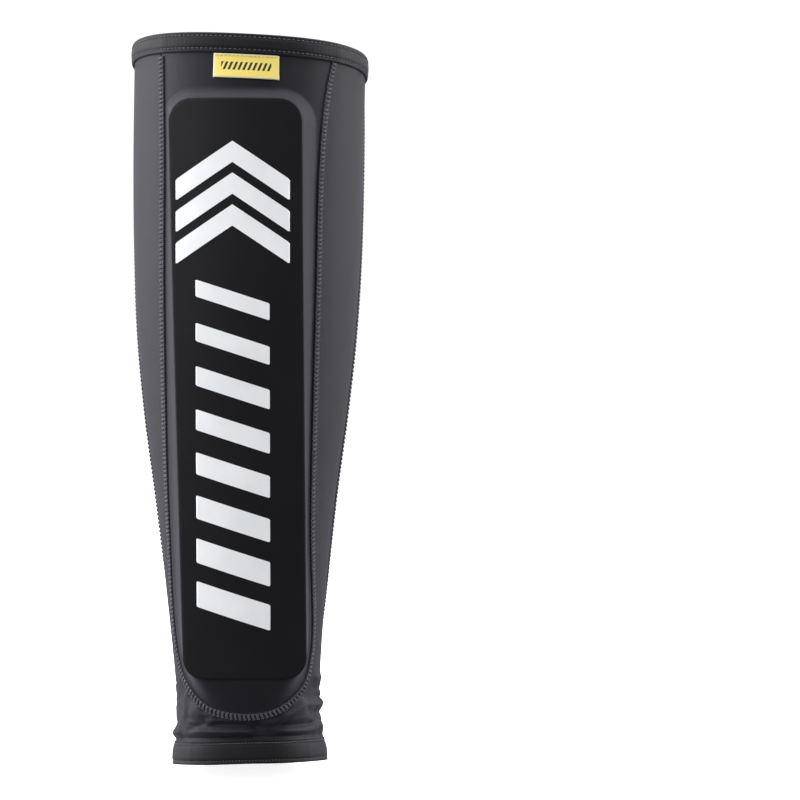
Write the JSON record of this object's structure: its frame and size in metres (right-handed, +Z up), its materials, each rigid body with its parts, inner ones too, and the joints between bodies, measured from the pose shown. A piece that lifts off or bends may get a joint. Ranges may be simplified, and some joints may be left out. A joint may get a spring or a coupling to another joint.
{
  "type": "shin guard",
  "caption": "Pull-on lower-leg sleeve with a moulded foam shin pad, a mesh calf panel, folded hems and a small sewn label flap.",
  "frame": {"origin": "under the middle of the guard's box, level with the lowest edge of the bottom hem", "axes": "+Z up the leg from ankle to knee, -Y out of the shin, +X to the right of someone facing the shin pad"},
  "size_m": [0.1194, 0.1298, 0.3619],
  "materials": {
    "stretch_cloth": "matte",
    "calf_mesh": "matte",
    "hem_band": "matte",
    "elastic": "matte",
    "pad_foam": "matte",
    "pad_face": "matte",
    "white_print": "satin",
    "seam_thread": "matte",
    "woven_label": "matte"
  },
  "bodies": {
    "sleeve": {"body_panel": "stretch_cloth", "shin_panel": "stretch_cloth", "back_mesh_panel": "calf_mesh", "pad_foam": "pad_foam", "pad_lining": "calf_mesh", "pad_face": "pad_face", "top_hem": "hem_band", "bottom_hem": "hem_band", "top_elastic": "elastic", "bottom_elastic": "elastic", "front_seam": "seam_thread", "back_seam_left": "seam_thread", "back_seam_right": "seam_thread", "print_chevron_1": "white_print", "print_chevron_2": "white_print", "print_chevron_3": "white_print", "print_bar_1": "white_print", "print_bar_2": "white_print", "print_bar_3": "white_print", "print_bar_4": "white_print", "print_bar_5": "white_print", "print_bar_6": "white_print", "print_bar_7": "white_print", "print_bar_8": "white_print", "top_hem_stitch_upper": "seam_thread", "top_hem_stitch_lower": "seam_thread", "bottom_hem_stitch_upper": "seam_thread", "bottom_hem_stitch_lower": "seam_thread"},
    "label": {"woven_label": "woven_label"}
  },
  "joints": [
    {"name": "label_lift", "type": "hinge", "parent": "sleeve", "child": "label", "pos_m": [0.00167, -0.0552, 0.3492], "axis": [-0.9992, 0, 0.041], "range_deg": [0, 120]}
  ]
}
